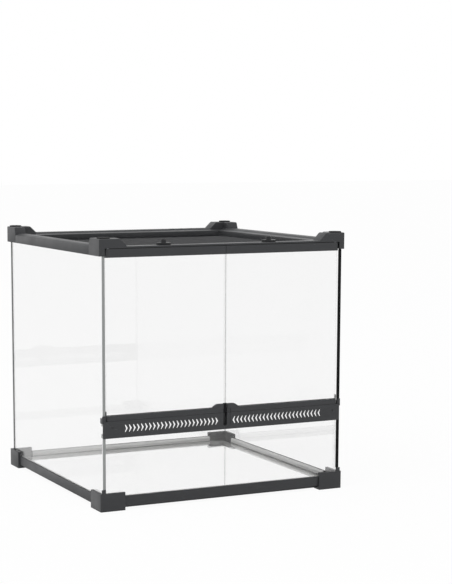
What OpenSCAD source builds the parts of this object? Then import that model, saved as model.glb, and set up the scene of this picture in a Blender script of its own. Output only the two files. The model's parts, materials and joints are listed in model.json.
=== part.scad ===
// Front-opening glass terrarium with a plastic base frame and top frame.
// Millimetres. The origin is under the middle of the tank, the doors face -Y, +Z is up.
// Most pieces are drawn from the front left corner: x to the right, y to the back.

/* [Tank] */
// Width over the corner blocks
tank_w = 450; // [400:10:600]
// Depth over the corner blocks
tank_d = 440; // [360:10:500]
// Height of the top rails' crest
rim_z = 430.5; // [380:0.1:560]

/* [Glass] */
// Thickness of the fixed glass
glass_t = 5; // [4:0.5:6]
// From the corner blocks' outer faces to the fixed glass
glass_inset = 5; // [4.6:0.2:6]
// Play of the fixed glass on each side in its grooves
glass_play = 0.2; // [0.1:0.05:0.3]
// Thickness of the floor glass
floor_t = 5; // [4:0.5:6]
// Thickness of the door glass
door_glass_t = 4; // [3:0.5:5]
// Plastic that covers the front edges of the side glass
edge_cover = 1.8; // [1.2:0.2:2.4]

/* [Base frame] */
// Height of the base corner blocks
base_block_h = 30; // [26:1:40]
// Length of the base corner blocks along each wall
base_block_l = 43.4; // [36:0.2:60]
// Height at which the fixed glass stands
glass_seat_z = 9.5; // [9:0.5:12]
// Step from the glass seat up to the shelf under the floor glass
shelf_step = 0.5; // [0.5:0.5:2]
// Reach of the shelf, from the corner blocks' outer faces
shelf_reach = 18; // [17:0.5:24]
// How far the base rails stand back from the blocks
rail_setback = 3; // [2:0.2:3.4]
// Height of the base rails' lower edge
rail_low_z = 6.8; // [5:0.2:7]
// Height of the base rails' upper edge
rail_top_z = 23.2; // [20:0.2:26]
// Height of the underside of the rails' inner rib
rib_low_z = 3; // [2:0.5:3.5]
// Length of the tongues that join rails to blocks
tongue_l = 12; // [8:1:16]
// Play of a tongue in its socket
tongue_play = 0.3; // [0.2:0.1:0.5]
// Width of the sealing bead on the floor glass
bead_w = 3; // [2:0.5:4]
// Height of the sealing bead
bead_h = 8.2; // [4:0.1:9]
// Height of the small tabs in front of the side glass
corner_tab_h = 6.5; // [4:0.5:9]

/* [Vent strip] */
// Height of the vent strip's lower edge
vent_z = 120.2; // [90:0.2:150]
// Height of the vent strip
vent_h = 27.9; // [26:0.1:34]
// Thickness of the vent strip's front wall
vent_wall = 1.6; // [1.6:0.2:3.6]
// How far the lower front glass stands up inside the strip
vent_grip = 4.2; // [4:0.2:7]
// Height of the vent slots
slot_h = 11.9; // [8:0.1:13]
// Bulge of a vent slot
slot_bulge = 3; // [1:0.2:4]
// Width of a vent slot at its middle
slot_w = 3.4; // [2:0.1:3.6]
// Width of a vent slot at its tips
slot_tip = 1.8; // [1:0.1:2]
// Spacing of the vent slots
slot_pitch = 7.1; // [6.5:0.1:10]
// From the strip's middle to the first slot
slot_from_middle = 13.2; // [12:0.1:20]
// Bare end of the strip beyond the slots
slot_end_margin = 41; // [30:1:60]
// Height of the slots above the strip's lower edge
slot_rise = 8.9; // [8.4:0.1:10]
// Width of the finger gap between the door trims
finger_gap = 7; // [5:0.2:9]
// Depth of the finger pocket in the strip
finger_depth = 9; // [6:0.5:9]
// Width of the shallow scoop around the finger gap
scoop_w = 20; // [14:0.5:24]
// Depth of that scoop
scoop_depth = 1; // [0.4:0.1:1.2]

/* [Doors] */
// Depth of the headers and trims on the door glass
door_depth = 10.8; // [9.6:0.2:12]
// From the corner blocks' outer faces to the hinge axis
hinge_inset = 16; // [15.8:0.2:20]
// Gap between the two doors
door_seam = 0.6; // [0.4:0.1:1.2]
// Gap under and behind the doors
door_gap = 0.4; // [0.3:0.1:0.8]
// Height of the door trims
trim_h = 8.5; // [7.5:0.1:12]
// Height of the door headers
header_h = 13.9; // [12:0.1:18]
// Gap over the door headers
header_gap = 0.8; // [0.5:0.1:1.5]
// Length of the grips at the doors' free ends
grip_l = 21.3; // [14:0.1:34]
// Height of the grips above the trims
grip_h = 6.3; // [4:0.1:9]
// Length of a grip's sloping shoulder
grip_shoulder = 10; // [4:0.5:13]
// Height of the thin upstand at the hinge end of a trim
upstand_h = 7; // [3:0.5:9]
// Diameter of the hinge pins
pin_d = 5; // [4:0.5:5.5]
// Play around a pin in the door that turns on it
pin_play = 0.1; // [0.05:0.01:0.1]

/* [Top frame] */
// Drop from the crest to the top frame's lower edge
skirt_drop = 16.5; // [14:0.5:22]
// How far the front rail's crest lies below the others
front_step = 1.5; // [0:0.1:3]
// Thickness of the front rail over the doors
lintel_t = 2.8; // [2.4:0.1:5]
// Drop from the crest to the tops of the glass grooves
groove_drop = 5.5; // [5:0.1:8]
// Drop from the crest to the lid's seat
seat_drop = 15.5; // [14:0.5:20]
// Width of the top rails
top_rail_w = 24; // [22.4:0.2:30]
// Reach of the lid's seat, from the corner blocks' outer faces
seat_reach = 29.5; // [28:0.5:36]
// Rise of the corner blocks above the crest
block_rise = 11.2; // [8:0.1:20]
// Length of the raised corner along the front and the rear
block_front_l = 36; // [32:0.5:50]
// Length of the slope at the end of that raised corner
block_slope_l = 11.8; // [6:0.2:20]
// Length of the raised corner along the sides
block_side_l = 44.6; // [34:0.2:60]
// Length of the slope at the end of that run
block_side_slope = 5; // [1:0.5:12]
// Width of the raised corner along the sides
block_side_w = 20; // [16:0.5:22]
// Rim of the corner blocks around the stacking pads
pad_margin = 1.4; // [1.4:0.1:4]
// Height of the stacking pads above the blocks
pad_rise = 2; // [1:0.5:4]
// Length of a cable slot in the rear rail
cable_slot_l = 10.5; // [8:0.5:14]
// Width of a cable slot
cable_slot_w = 8.5; // [4.6:0.1:9]
// Spacing of the cable slots
cable_pitch = 19.5; // [16:0.5:26]
// From the right side to the middle cable slot
cable_from_right = 107; // [90:1:140]

/* [Lid] */
// Gap around the lid
lid_gap = 0.6; // [0.4:0.1:1.2]
// Width of the lid's frame
lid_frame_w = 11.5; // [9:0.5:16]
// Height of the lid's frame
lid_h = 12.8; // [8:0.1:13]
// Thickness of the wire screen
screen_t = 0.8; // [0.6:0.1:1.2]
// Openings of the wire screen along each side
screen_count = 16; // [8:1:17]
// Width of the screen's bars
screen_bar = 1.6; // [1:0.2:3]
// Diameter of the turn knobs
knob_d = 23.6; // [22:0.2:28]
// From the knob's axis to its flat
knob_flat = 6.3; // [5:0.1:6.4]
// Thickness of the knob's disc
knob_disc_t = 2.4; // [2:0.1:4]
// Height of the knob's grip above its disc
knob_grip_h = 6.5; // [5:0.5:9]
// From the front rail's inner edge to the knobs' axes
knob_back = 6.5; // [6.4:0.1:7]
// From the left side to the left knob's axis
knob_left = 120; // [80:1:160]
// From the right side to the right knob's axis
knob_right = 137; // [80:1:160]
// Diameter of the knob screws
screw_d = 3; // [3:0.5:4.5]

/* [Hidden] */
$fn = 64;

black = "#26272a";
dark = "#17181a";
clear = [0.86, 0.91, 0.9, 0.3];
steel = "#9a9c9e";
bead_colour = "#c9cbc8";
past = 1;
face_gap = 0.1;

// Grooves that hold the fixed glass
groove_u = glass_inset - glass_play;
groove_w = glass_t + 2 * glass_play;
inner_u = groove_u + groove_w;
glass_in = glass_inset + glass_t;
floor_u = glass_in + 2 * glass_play;

// Base frame
floor_z = glass_seat_z + shelf_step;
lip_chamfer = 0.8;
rib_u = inner_u - 1.2;
cover_u = glass_in - 0.4;
tab_inset = 2.2;
tab_setback = 0.6;
tongue_u = rib_u + 1.6;
tongue_w = shelf_reach - tongue_u - 1.6;
tongue_z = rib_low_z + 1.1;
tongue_t = floor_z - tongue_z - 1.6;
base_round = 2;

// Doors
hinge_v = door_depth / 2;
door_end = hinge_inset - hinge_v;
door_corner = 1.8;
door_glass_x = door_end + 1.4;
door_glass_play = 0.1;
door_glass_v = hinge_v - door_glass_t / 2;
seam_x = tank_w / 2 - door_seam / 2;
trim_end = tank_w / 2 - finger_gap / 2;
vent_top = vent_z + vent_h;
trim_z = vent_top + door_gap;
trim_top = trim_z + trim_h;
trim_floor = 4;
header_roof = 5;
front_z = rim_z - front_step;
lintel_z = front_z - lintel_t;
header_z = lintel_z - header_gap - header_h;
header_top = header_z + header_h;
pin_fit = 0.05;
pin_in_door = 3.3;
pin_seat = 7.2;
pin_in_block = 5.2;
pin_short = 0.3;
stop_v = door_depth + door_gap;
stop_t = 2;
stop_l = 36;
stop_clear = 2;
shoulder = [0.22, 0.7];
shoulder_rise = [0.35, 0.86];

// Vent strip
vent_glass_top = vent_z + vent_grip;
vent_web_top = vent_glass_top + 2.4;
vent_depth = inner_u + 1.8;
flange_t = 2.1;
boss_u = hinge_inset + pin_d / 2 + 5.5;
boss_v = hinge_v + pin_d / 2 + 4;
pocket_wall = 2;
pocket_foot = vent_web_top - 1;
scoop_foot = vent_z + 2.3;
scoop_end = trim_top - 2;
strip_round = 2.6;
slot_reach = tank_w / 2 - slot_end_margin - slot_from_middle - slot_bulge - slot_w;
slot_count = floor(slot_reach / slot_pitch) + 1;
dimple_u = 20.5;
dimple_z = vent_z + 17.2;
dimple_d = 4;
dimple_depth = 0.8;
clip_t = 1;
clip_v = 0.5;
clip_l = 9;
clip_h = 9;
clip_low = 3.8;

// Top frame
chamfer_w = 4;
chamfer_h = 2.9;
bevel_w = 4;
bevel_h = 3.2;
top_face_z = rim_z - chamfer_h;
skirt_z = rim_z - skirt_drop;
groove_top = rim_z - groove_drop;
glass_top = groove_top - glass_play;
rail_wall = 2;
seat_z = rim_z - seat_drop;
seat_t = 2;
seat_lap = 0.5;
block_top = rim_z + block_rise;
block_front_end = block_front_l + block_slope_l;
block_edge = 1.2;
block_round = 1.2;
pad_d = top_rail_w - 2 * pad_margin;
pad_u = top_rail_w / 2;
pad_sink = 0.8;
pad_play = 0.1;
top_tongue_u = 13.5;
top_tongue_w = 7;
top_tongue_t = 2.8;
tongue_cover = 1.3;
front_under = front_z - tongue_cover - top_tongue_t - 1.4;
front_edge = 0.8;
cable_v = (inner_u + top_rail_w) / 2;
cable_round = 1.5;

// Catches
magnet_l = 16;
magnet_h = 6;
magnet_t = 4;
magnet_play = 0.1;
magnet_from_middle = 24;
magnet_x = tank_w / 2 - magnet_from_middle;
magnet_z = header_z + 4;
plate_t = 1;
catch_wall = 2;
catch_boss_l = 2 * magnet_from_middle + magnet_l + 2 * catch_wall;

// Lid and knobs
lid_u = top_rail_w + lid_gap;
lid_low = seat_z + 0.3;
lid_top = lid_low + lid_h;
lid_inner_u = lid_u + lid_frame_w;
lid_slope = 1.5;
lid_edge = 0.8;
screen_z = lid_low + 0.9;
screen_hold = 2.8;
screen_u = lid_inner_u - screen_hold;
screen_play = 0.1;
knob_v = top_rail_w - knob_back;
knob_recess = 0.6;
knob_seat_z = front_z - knob_recess;
knob_z = max(knob_seat_z + 0.2, lid_top + 0.4);
knob_disc_top = knob_z + knob_disc_t;
knob_top = knob_disc_top + knob_grip_h;
knob_hub_d = screw_d + 6;
knob_wing_t = 4.6;
knob_wing_l = 12;
knob_wing_drop = 0.6;
knob_clear = 0.8;
screw_play = 0.1;
screw_head_d = screw_d + 2.4;
screw_head_t = 2;
screw_head_play = 0.3;
screw_seat = knob_top - 3.2;
screw_low = seat_z + 2;
screw_boss_d = screw_d + 4;

// Places the front left corner of the tank, where the children are drawn
module from_corner() {
    translate([-tank_w / 2, -tank_d / 2, 0]) children();
}

module on_right() {
    mirror([1, 0, 0]) children();
}

module at_rear() {
    mirror([0, 1, 0]) children();
}

// Turns what runs along the front into what runs along the left side
module along_side() {
    mirror([1, -1, 0]) children();
}

// Extrudes an outline of depth and height along x
module along_x(from, to) {
    translate([from, 0, 0]) rotate([90, 0, 90]) linear_extrude(to - from) children();
}

// Extrudes an outline of x and height along y
module along_y(from, to) {
    translate([0, to, 0]) rotate([90, 0, 0]) linear_extrude(to - from) children();
}

// L-shaped outline, as wide as w along two walls of length l
module ell(l, w) {
    square([l, w]);
    square([w, l]);
}

// What is cut off an upright outer corner to round it
module corner_round(r) {
    translate([0, 0, -past]) linear_extrude(block_top + 2 * past) difference() {
        translate([-past, -past]) square(r + past);
        translate([r, r]) circle(r);
    }
}

// Base corner block at the front left
module base_block(front) {
    from_corner() difference() {
        union() {
            linear_extrude(glass_seat_z) ell(base_block_l, shelf_reach);
            linear_extrude(floor_z) difference() {
                ell(base_block_l, shelf_reach);
                ell(base_block_l + past, inner_u);
            }
            linear_extrude(base_block_h) ell(base_block_l, groove_u);
            if (front)
                translate([groove_u - tab_inset, tab_setback, base_block_h - past])
                    cube([cover_u - groove_u + tab_inset, edge_cover - tab_setback, corner_tab_h + past]);
            if (front) cube([cover_u, edge_cover, base_block_h]);
        }
        corner_round(base_round);
        if (front)
            translate([groove_u, edge_cover, glass_seat_z])
                cube([groove_w, base_block_l, base_block_h]);
        base_socket();
        along_side() base_socket();
    }
}

// Socket for the tongue of a base rail
module base_socket() {
    translate([base_block_l - tongue_l - tongue_play, tongue_u - tongue_play, tongue_z - tongue_play])
        cube([tongue_l + tongue_play + past, tongue_w + 2 * tongue_play, tongue_t + 2 * tongue_play]);
}

module base_rail_outline() {
    lip_t = groove_u - rail_setback;
    polygon([
        [rail_setback, rail_low_z], [rib_u, rail_low_z], [rib_u, rib_low_z],
        [shelf_reach, rib_low_z], [shelf_reach, floor_z], [inner_u, floor_z],
        [inner_u, glass_seat_z], [groove_u, glass_seat_z], [groove_u, rail_top_z],
        [groove_u - lip_t + lip_chamfer, rail_top_z], [rail_setback, rail_top_z - lip_chamfer]
    ]);
}

// Base rail along a wall of length span, with a tongue at each end
module base_rail(span) {
    from = base_block_l + face_gap;
    to = span - from;
    along_x(from, to) base_rail_outline();
    translate([from - tongue_l, tongue_u, tongue_z])
        cube([to - from + 2 * tongue_l, tongue_w, tongue_t]);
}

// Sealing bead on the floor glass along a wall of length span
module bead(span) {
    along_x(base_block_l, span - base_block_l) translate([glass_in, floor_z + floor_t])
        polygon([[0, 0], [bead_w, 0], [bead_w, bead_h * 0.6], [bead_w * 0.6, bead_h], [0, bead_h]]);
}

module base_corner_front_left() { color(black) base_block(true); }
module base_corner_front_right() { color(black) on_right() base_block(true); }
module base_corner_rear_left() { color(black) at_rear() base_block(false); }
module base_corner_rear_right() { color(black) at_rear() on_right() base_block(false); }
module base_rail_front() { color(black) from_corner() base_rail(tank_w); }
module base_rail_rear() { color(black) at_rear() from_corner() base_rail(tank_w); }
module base_rail_left() { color(black) from_corner() along_side() base_rail(tank_d); }
module base_rail_right() { color(black) on_right() from_corner() along_side() base_rail(tank_d); }

module floor_glass() {
    color(clear) from_corner() translate([floor_u, floor_u, floor_z])
        cube([tank_w - 2 * floor_u, tank_d - 2 * floor_u, floor_t]);
}

module floor_seal() {
    color(bead_colour) {
        from_corner() bead(tank_w);
        at_rear() from_corner() bead(tank_w);
        from_corner() along_side() bead(tank_d);
        on_right() from_corner() along_side() bead(tank_d);
    }
}

// Side glass on the left, from behind the corner blocks' front covers to the rear glass
module side_glass() {
    front_v = edge_cover + glass_play;
    from_corner() translate([glass_inset, front_v, glass_seat_z])
        cube([glass_t, tank_d - glass_in - front_v, glass_top - glass_seat_z]);
}

module left_glass() { color(clear) side_glass(); }
module right_glass() { color(clear) on_right() side_glass(); }

module rear_glass() {
    color(clear) at_rear() from_corner() translate([glass_inset, glass_inset, glass_seat_z])
        cube([tank_w - 2 * glass_inset, glass_t, glass_top - glass_seat_z]);
}

module lower_front_glass() {
    color(clear) from_corner() translate([inner_u, glass_inset, glass_seat_z])
        cube([tank_w - 2 * inner_u, glass_t, vent_glass_top - glass_seat_z]);
}

// Outline of one vent slot, with its point at x = 0 and its foot at z = 0
module slot_outline() {
    tip = slot_tip / 2;
    tip_x = -slot_bulge - slot_w / 2;
    polygon([
        [tip_x - tip, 0], [tip_x + tip, 0], [0, slot_h / 2],
        [tip_x + tip, slot_h], [tip_x - tip, slot_h], [-slot_w, slot_h / 2]
    ]);
}

// Slots of the strip's left half, which point towards its middle
module slot_bank() {
    for (i = [0 : slot_count - 1])
        translate([-slot_from_middle - i * slot_pitch, -past, vent_z + slot_rise])
            along_y(0, vent_wall + 2 * past) slot_outline();
}

// Upright gap of a given width from its round foot up through the strip's upper edge
module finger_outline(w, foot) {
    translate([0, foot + w / 2]) circle(w / 2);
    translate([-w / 2, foot + w / 2]) square([w, vent_top - foot - w / 2 + past]);
}

// Pieces of the strip's left end: the boss for the hinge pin
module strip_boss() {
    translate([inner_u, 0, vent_top - pin_seat - 1.4])
        cube([boss_u - inner_u, boss_v, pin_seat + 1.4]);
}

// Cuts in the strip's left end: the side glass, the pin and a plugged fixing hole
module strip_end_cuts() {
    translate([groove_u - past, edge_cover, vent_z - past])
        cube([groove_w + past, boss_v, vent_h + 2 * past]);
    translate([hinge_inset, hinge_v, vent_top - pin_seat])
        cylinder(d = pin_d + 2 * pin_fit, h = pin_seat + past);
    translate([dimple_u, dimple_depth, dimple_z]) rotate([90, 0, 0])
        cylinder(d = dimple_d, h = dimple_depth + past);
    translate([groove_u, 0, 0]) corner_round(strip_round);
}

module strip_body() {
    translate([groove_u - tank_w / 2, 0, vent_z]) cube([tank_w - 2 * groove_u, vent_wall, vent_h]);
    translate([inner_u - tank_w / 2, 0, vent_z])
        cube([tank_w - 2 * inner_u, vent_depth, vent_web_top - vent_z]);
    translate([inner_u - tank_w / 2, 0, vent_top - flange_t])
        cube([tank_w - 2 * inner_u, vent_depth, flange_t]);
    translate([-stop_l / 2, stop_v, vent_top - flange_t])
        cube([stop_l, stop_t, trim_top - stop_clear - vent_top + flange_t]);
    translate([-scoop_w / 2 - pocket_wall, 0, vent_web_top - past])
        cube([scoop_w + 2 * pocket_wall, scoop_depth + pocket_wall, vent_top - vent_web_top]);
    translate([-finger_gap / 2 - pocket_wall, 0, vent_web_top - past])
        cube([finger_gap + 2 * pocket_wall, finger_depth + pocket_wall, vent_top - vent_web_top]);
    translate([-tank_w / 2, 0, 0]) strip_boss();
    on_right() translate([-tank_w / 2, 0, 0]) strip_boss();
}

module vent_strip() {
    color(black) translate([0, -tank_d / 2, 0]) difference() {
        strip_body();
        translate([groove_u - tank_w / 2, groove_u, vent_z - past])
            cube([tank_w - 2 * groove_u, groove_w, vent_grip + glass_play + past]);
        slot_bank();
        on_right() slot_bank();
        along_y(-past, finger_depth) finger_outline(finger_gap, pocket_foot);
        along_y(-past, scoop_depth) finger_outline(scoop_w, scoop_foot);
        translate([-tank_w / 2, 0, 0]) strip_end_cuts();
        on_right() translate([-tank_w / 2, 0, 0]) strip_end_cuts();
    }
}

// Clip on the front edge of the side glass, beside the door trim
module strip_clip() {
    cheek_u = groove_u - clip_t;
    from_corner() difference() {
        union() {
            translate([cheek_u, clip_v, trim_z - clip_low]) cube([clip_t, clip_l, clip_h]);
            translate([cheek_u, 0, trim_z]) cube([cover_u - cheek_u, edge_cover, trim_h]);
        }
        translate([cheek_u, 0, 0]) corner_round(strip_round - clip_t);
    }
}

module strip_clip_left() { color(dark) strip_clip(); }
module strip_clip_right() { color(dark) on_right() strip_clip(); }

// Hinge pin on the left door's axis between two heights
module hinge_pin(from, to) {
    from_corner() translate([hinge_inset, hinge_v, from]) cylinder(d = pin_d, h = to - from);
}

module lower_pin() { hinge_pin(vent_top - pin_seat, trim_z + pin_in_door - pin_short); }
module upper_pin() { hinge_pin(header_top - pin_in_door + pin_short, lintel_z + pin_in_block); }
module hinge_pins_lower() { color(steel) { lower_pin(); on_right() lower_pin(); } }
module hinge_pins_upper() { color(steel) { upper_pin(); on_right() upper_pin(); } }

// Cap of the side and rear rails, from a given underside up to the crest
module cap_outline(under) {
    polygon([
        [0, under], [0, top_face_z], [chamfer_w, rim_z], [top_rail_w - bevel_w, rim_z],
        [top_rail_w, rim_z - bevel_h], [top_rail_w, under]
    ]);
}

// Cap of the front rail, thin over the doors and thicker behind them
module front_cap_outline() {
    polygon([
        [0, lintel_z], [0, front_z - front_edge], [front_edge, front_z],
        [top_rail_w - bevel_w, front_z], [top_rail_w, front_z - bevel_h], [top_rail_w, front_under],
        [stop_v, front_under], [stop_v, lintel_z]
    ]);
}

// Skirt of the side and rear rails, outside the glass
module skirt_outline() {
    translate([0, skirt_z]) square([groove_u, groove_top + seat_lap - skirt_z]);
}

// Inner wall of the top rails and the seat that carries the lid
module seat_outline() {
    translate([top_rail_w - rail_wall, seat_z - seat_t])
        square([rail_wall, groove_top + seat_lap - seat_z + seat_t]);
    translate([top_rail_w - rail_wall, seat_z - seat_t])
        square([seat_reach - top_rail_w + rail_wall, seat_t]);
}

// Lip of the side and rear rails, inside the glass
module lip_outline() {
    translate([inner_u, skirt_z]) square([rail_wall, groove_top + seat_lap - skirt_z]);
}

// Wall behind the door headers, which stops the doors
module door_stop_outline() {
    translate([stop_v, skirt_z]) square([stop_t, front_under + seat_lap - skirt_z]);
}

// Tongue of a top rail with a given crest, between two places along the wall
module top_tongue(from, to, crest, play) {
    translate([from, top_tongue_u - play, crest - tongue_cover - top_tongue_t - play])
        cube([to - from, top_tongue_w + 2 * play, top_tongue_t + 2 * play]);
}

// Side or rear rail along a wall, from one corner block to the other
module top_rail(span, block_l) {
    from = block_l + face_gap;
    along_x(from, span - from) {
        cap_outline(groove_top);
        skirt_outline();
        lip_outline();
        seat_outline();
    }
    top_tongue(from - tongue_l, span - from + tongue_l, rim_z, 0);
}

// Raised corner along the front or the rear, down to the crest of the rail there
module raised_front(under, crest) {
    intersection() {
        along_y(0, top_rail_w) polygon([
            [0, under], [0, block_top - block_edge], [block_edge, block_top],
            [block_front_l, block_top], [block_front_end, crest], [block_front_end, under]
        ]);
        along_x(0, block_front_end) polygon([
            [0, under], [0, block_top - block_edge], [block_edge, block_top],
            [top_rail_w - block_edge, block_top], [top_rail_w, block_top - block_edge],
            [top_rail_w, under]
        ]);
    }
}

// Raised corner along a side
module raised_side(under) {
    intersection() {
        along_y(0, block_side_l) polygon([
            [0, under], [0, block_top - block_edge], [block_edge, block_top],
            [block_side_w - block_edge, block_top], [block_side_w, block_top - block_edge],
            [block_side_w, under]
        ]);
        along_x(0, block_side_w) polygon([
            [0, under], [0, block_top - block_edge], [block_edge, block_top],
            [block_side_l - block_side_slope, block_top], [block_side_l, rim_z], [block_side_l, under]
        ]);
    }
}

// What every top corner block has cut out: the pad's recess, rail sockets and the round corner
module top_block_cuts(crest) {
    corner_round(block_round);
    translate([pad_u, pad_u, block_top - pad_sink])
        cylinder(d = pad_d + 2 * pad_play, h = pad_sink + past);
    top_tongue(block_front_end - tongue_l - tongue_play, block_front_end + past, crest, tongue_play);
    along_side()
        top_tongue(block_side_l - tongue_l - tongue_play, block_side_l + past, rim_z, tongue_play);
}

// Body of a front block, with the room for the door taken out
module top_block_body() {
    difference() {
        union() {
            raised_front(front_under, front_z);
            raised_side(groove_top);
            along_side() along_x(0, block_side_l) {
                cap_outline(groove_top);
                skirt_outline();
            }
            along_x(inner_u, block_front_end) {
                door_stop_outline();
                seat_outline();
            }
            along_side() along_x(inner_u, block_side_l) {
                lip_outline();
                seat_outline();
            }
        }
        translate([cover_u, -past, seat_z - seat_t - past])
            cube([block_front_end, stop_v + past, lintel_z - seat_z + seat_t + past]);
    }
}

module top_block_front() {
    from_corner() difference() {
        union() {
            top_block_body();
            translate([0, 0, skirt_z]) cube([cover_u, edge_cover, lintel_z + seat_lap - skirt_z]);
        }
        translate([groove_u, edge_cover, skirt_z - past])
            cube([groove_w, block_side_l, groove_top - skirt_z + past]);
        translate([hinge_inset, hinge_v, lintel_z - past])
            cylinder(d = pin_d + 2 * pin_fit, h = pin_in_block + past);
        top_block_cuts(front_z);
    }
}

module top_block_rear() {
    at_rear() from_corner() difference() {
        union() {
            raised_front(groove_top, rim_z);
            raised_side(groove_top);
            along_x(0, block_front_end) skirt_outline();
            along_side() along_x(0, block_side_l) {
                cap_outline(groove_top);
                skirt_outline();
            }
            along_x(inner_u, block_front_end) {
                lip_outline();
                seat_outline();
            }
            along_side() along_x(inner_u, block_side_l) {
                lip_outline();
                seat_outline();
            }
        }
        translate([groove_u, groove_u, skirt_z - past])
            cube([groove_w, block_side_l, groove_top - skirt_z + past]);
        translate([groove_u, groove_u, skirt_z - past])
            cube([block_front_end, groove_w, groove_top - skirt_z + past]);
        top_block_cuts(rim_z);
    }
}

module top_corner_front_left() { color(black) top_block_front(); }
module top_corner_front_right() { color(black) on_right() top_block_front(); }
module top_corner_rear_left() { color(black) top_block_rear(); }
module top_corner_rear_right() { color(black) on_right() top_block_rear(); }
module top_rail_left() { color(black) from_corner() along_side() top_rail(tank_d, block_side_l); }
module top_rail_right() {
    color(black) on_right() from_corner() along_side() top_rail(tank_d, block_side_l);
}

// Cable slot through the rear rail, at a place along x
module cable_slot(x) {
    l = cable_slot_l - 2 * cable_round;
    w = cable_slot_w - 2 * cable_round;
    translate([x, cable_v, groove_top - past]) linear_extrude(groove_drop + 2 * past) {
        square([cable_slot_l, w], center = true);
        square([l, cable_slot_w], center = true);
        for (i = [-1, 1])
            for (j = [-1, 1])
                translate([i * l / 2, j * w / 2]) circle(cable_round);
    }
}

module top_rail_rear() {
    color(black) at_rear() from_corner() difference() {
        top_rail(tank_w, block_front_end);
        for (i = [-1 : 1])
            cable_slot(tank_w - cable_from_right + i * cable_pitch);
    }
}

// Boss for a knob screw
module knob_boss(x) {
    translate([x, knob_v, screw_low - past])
        cylinder(d = screw_boss_d, h = front_under - screw_low + past + seat_lap);
}

// The flat that a knob turns on and the bore for its screw
module knob_cuts(x) {
    translate([x, knob_v, knob_seat_z]) cylinder(d = knob_d + 2 * knob_clear, h = knob_recess + past);
    translate([x, knob_v, screw_low]) cylinder(d = screw_d + 2 * pin_fit, h = front_z - screw_low + past);
}

module magnet_pocket(x) {
    translate([x - magnet_l / 2 - magnet_play, stop_v - past, magnet_z - magnet_play])
        cube([magnet_l + 2 * magnet_play, magnet_t + past, magnet_h + 2 * magnet_play]);
}

module top_rail_front() {
    from = block_front_end + face_gap;
    color(black) from_corner() difference() {
        union() {
            along_x(from, tank_w - from) {
                front_cap_outline();
                door_stop_outline();
                seat_outline();
            }
            top_tongue(from - tongue_l, tank_w - from + tongue_l, front_z, 0);
            translate([tank_w / 2 - catch_boss_l / 2, stop_v, skirt_z])
                cube([catch_boss_l, magnet_t + catch_wall, front_under + seat_lap - skirt_z]);
            knob_boss(knob_left);
            knob_boss(tank_w - knob_right);
        }
        knob_cuts(knob_left);
        knob_cuts(tank_w - knob_right);
        magnet_pocket(magnet_x);
        magnet_pocket(tank_w - magnet_x);
    }
}

// One round pad on the front left block
module stacking_pad() {
    from_corner() translate([pad_u, pad_u, block_top - pad_sink])
        cylinder(d = pad_d, h = pad_sink + pad_rise);
}

module stacking_pads() {
    color(dark) {
        stacking_pad();
        on_right() stacking_pad();
        at_rear() stacking_pad();
        at_rear() on_right() stacking_pad();
    }
}

module catch_magnet() {
    from_corner() translate([magnet_x - magnet_l / 2, stop_v, magnet_z])
        cube([magnet_l, magnet_t, magnet_h]);
}

module catch_magnets() { color(steel) { catch_magnet(); on_right() catch_magnet(); } }

// Bar with a hinge end that is round behind and squarer in front
module door_bar(low, height, end) {
    translate([0, 0, low]) linear_extrude(height) {
        translate([hinge_inset, hinge_v]) circle(hinge_v);
        translate([hinge_inset - door_corner, 0]) square([door_corner + past, hinge_v]);
        translate([hinge_inset, 0]) square([end - hinge_inset, door_depth]);
    }
}

// Channel for the door glass in a header or trim
module door_channel(low, height) {
    translate([door_glass_x - 0.1, door_glass_v - door_glass_play, low])
        cube([tank_w / 2, door_glass_t + 2 * door_glass_play, height]);
}

module pin_bore(low, height) {
    translate([hinge_inset, hinge_v, low]) cylinder(d = pin_d + 2 * pin_play, h = height);
}

module door_glass() {
    glass_z = trim_z + trim_floor;
    from_corner() translate([door_glass_x, door_glass_v, glass_z])
        cube([seam_x - door_glass_x, door_glass_t, header_top - header_roof - glass_z]);
}

module door_header() {
    from_corner() difference() {
        door_bar(header_z, header_h, seam_x);
        door_channel(header_z - past, header_h - header_roof + past + 0.2);
        pin_bore(header_top - pin_in_door, pin_in_door + past);
        translate([magnet_x - magnet_l / 2, door_depth - plate_t, magnet_z])
            cube([magnet_l, plate_t + past, magnet_h]);
    }
}

module catch_plate() {
    from_corner() translate([magnet_x - magnet_l / 2, door_depth - plate_t, magnet_z])
        cube([magnet_l, plate_t, magnet_h]);
}

// Grip on top of the trim, in front of the glass, with a sloping shoulder
module grip() {
    along_y(0, door_glass_v - door_glass_play) translate([trim_end - grip_l, trim_top])
        polygon([
            [0, -past], [0, 0], [shoulder[0] * grip_shoulder, shoulder_rise[0] * grip_h],
            [shoulder[1] * grip_shoulder, shoulder_rise[1] * grip_h], [grip_shoulder, grip_h],
            [grip_l, grip_h], [grip_l, -past]
        ]);
}

// Thin upstand at the hinge end of a trim, beside the glass
module upstand() {
    intersection() {
        door_bar(trim_z, trim_h + upstand_h, hinge_inset + past);
        translate([0, 0, trim_z]) cube([door_glass_x - 0.2, door_depth, trim_h + upstand_h]);
    }
}

module door_trim() {
    from_corner() difference() {
        union() {
            door_bar(trim_z, trim_h, trim_end);
            grip();
            upstand();
        }
        door_channel(trim_z + trim_floor, trim_h + grip_h);
        pin_bore(trim_z - past, pin_in_door + past);
        translate([tank_w / 2 - scoop_w / 2, -past, trim_z - past])
            cube([scoop_w / 2, scoop_depth + past, scoop_end - trim_z + past]);
    }
}

module door_glass_left() { color(clear) door_glass(); }
module door_glass_right() { color(clear) on_right() door_glass(); }
module door_header_left() { color(black) door_header(); }
module door_header_right() { color(black) on_right() door_header(); }
module door_trim_left() { color(black) door_trim(); }
module door_trim_right() { color(black) on_right() door_trim(); }
module catch_plate_left() { color(steel) catch_plate(); }
module catch_plate_right() { color(steel) on_right() catch_plate(); }

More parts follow.
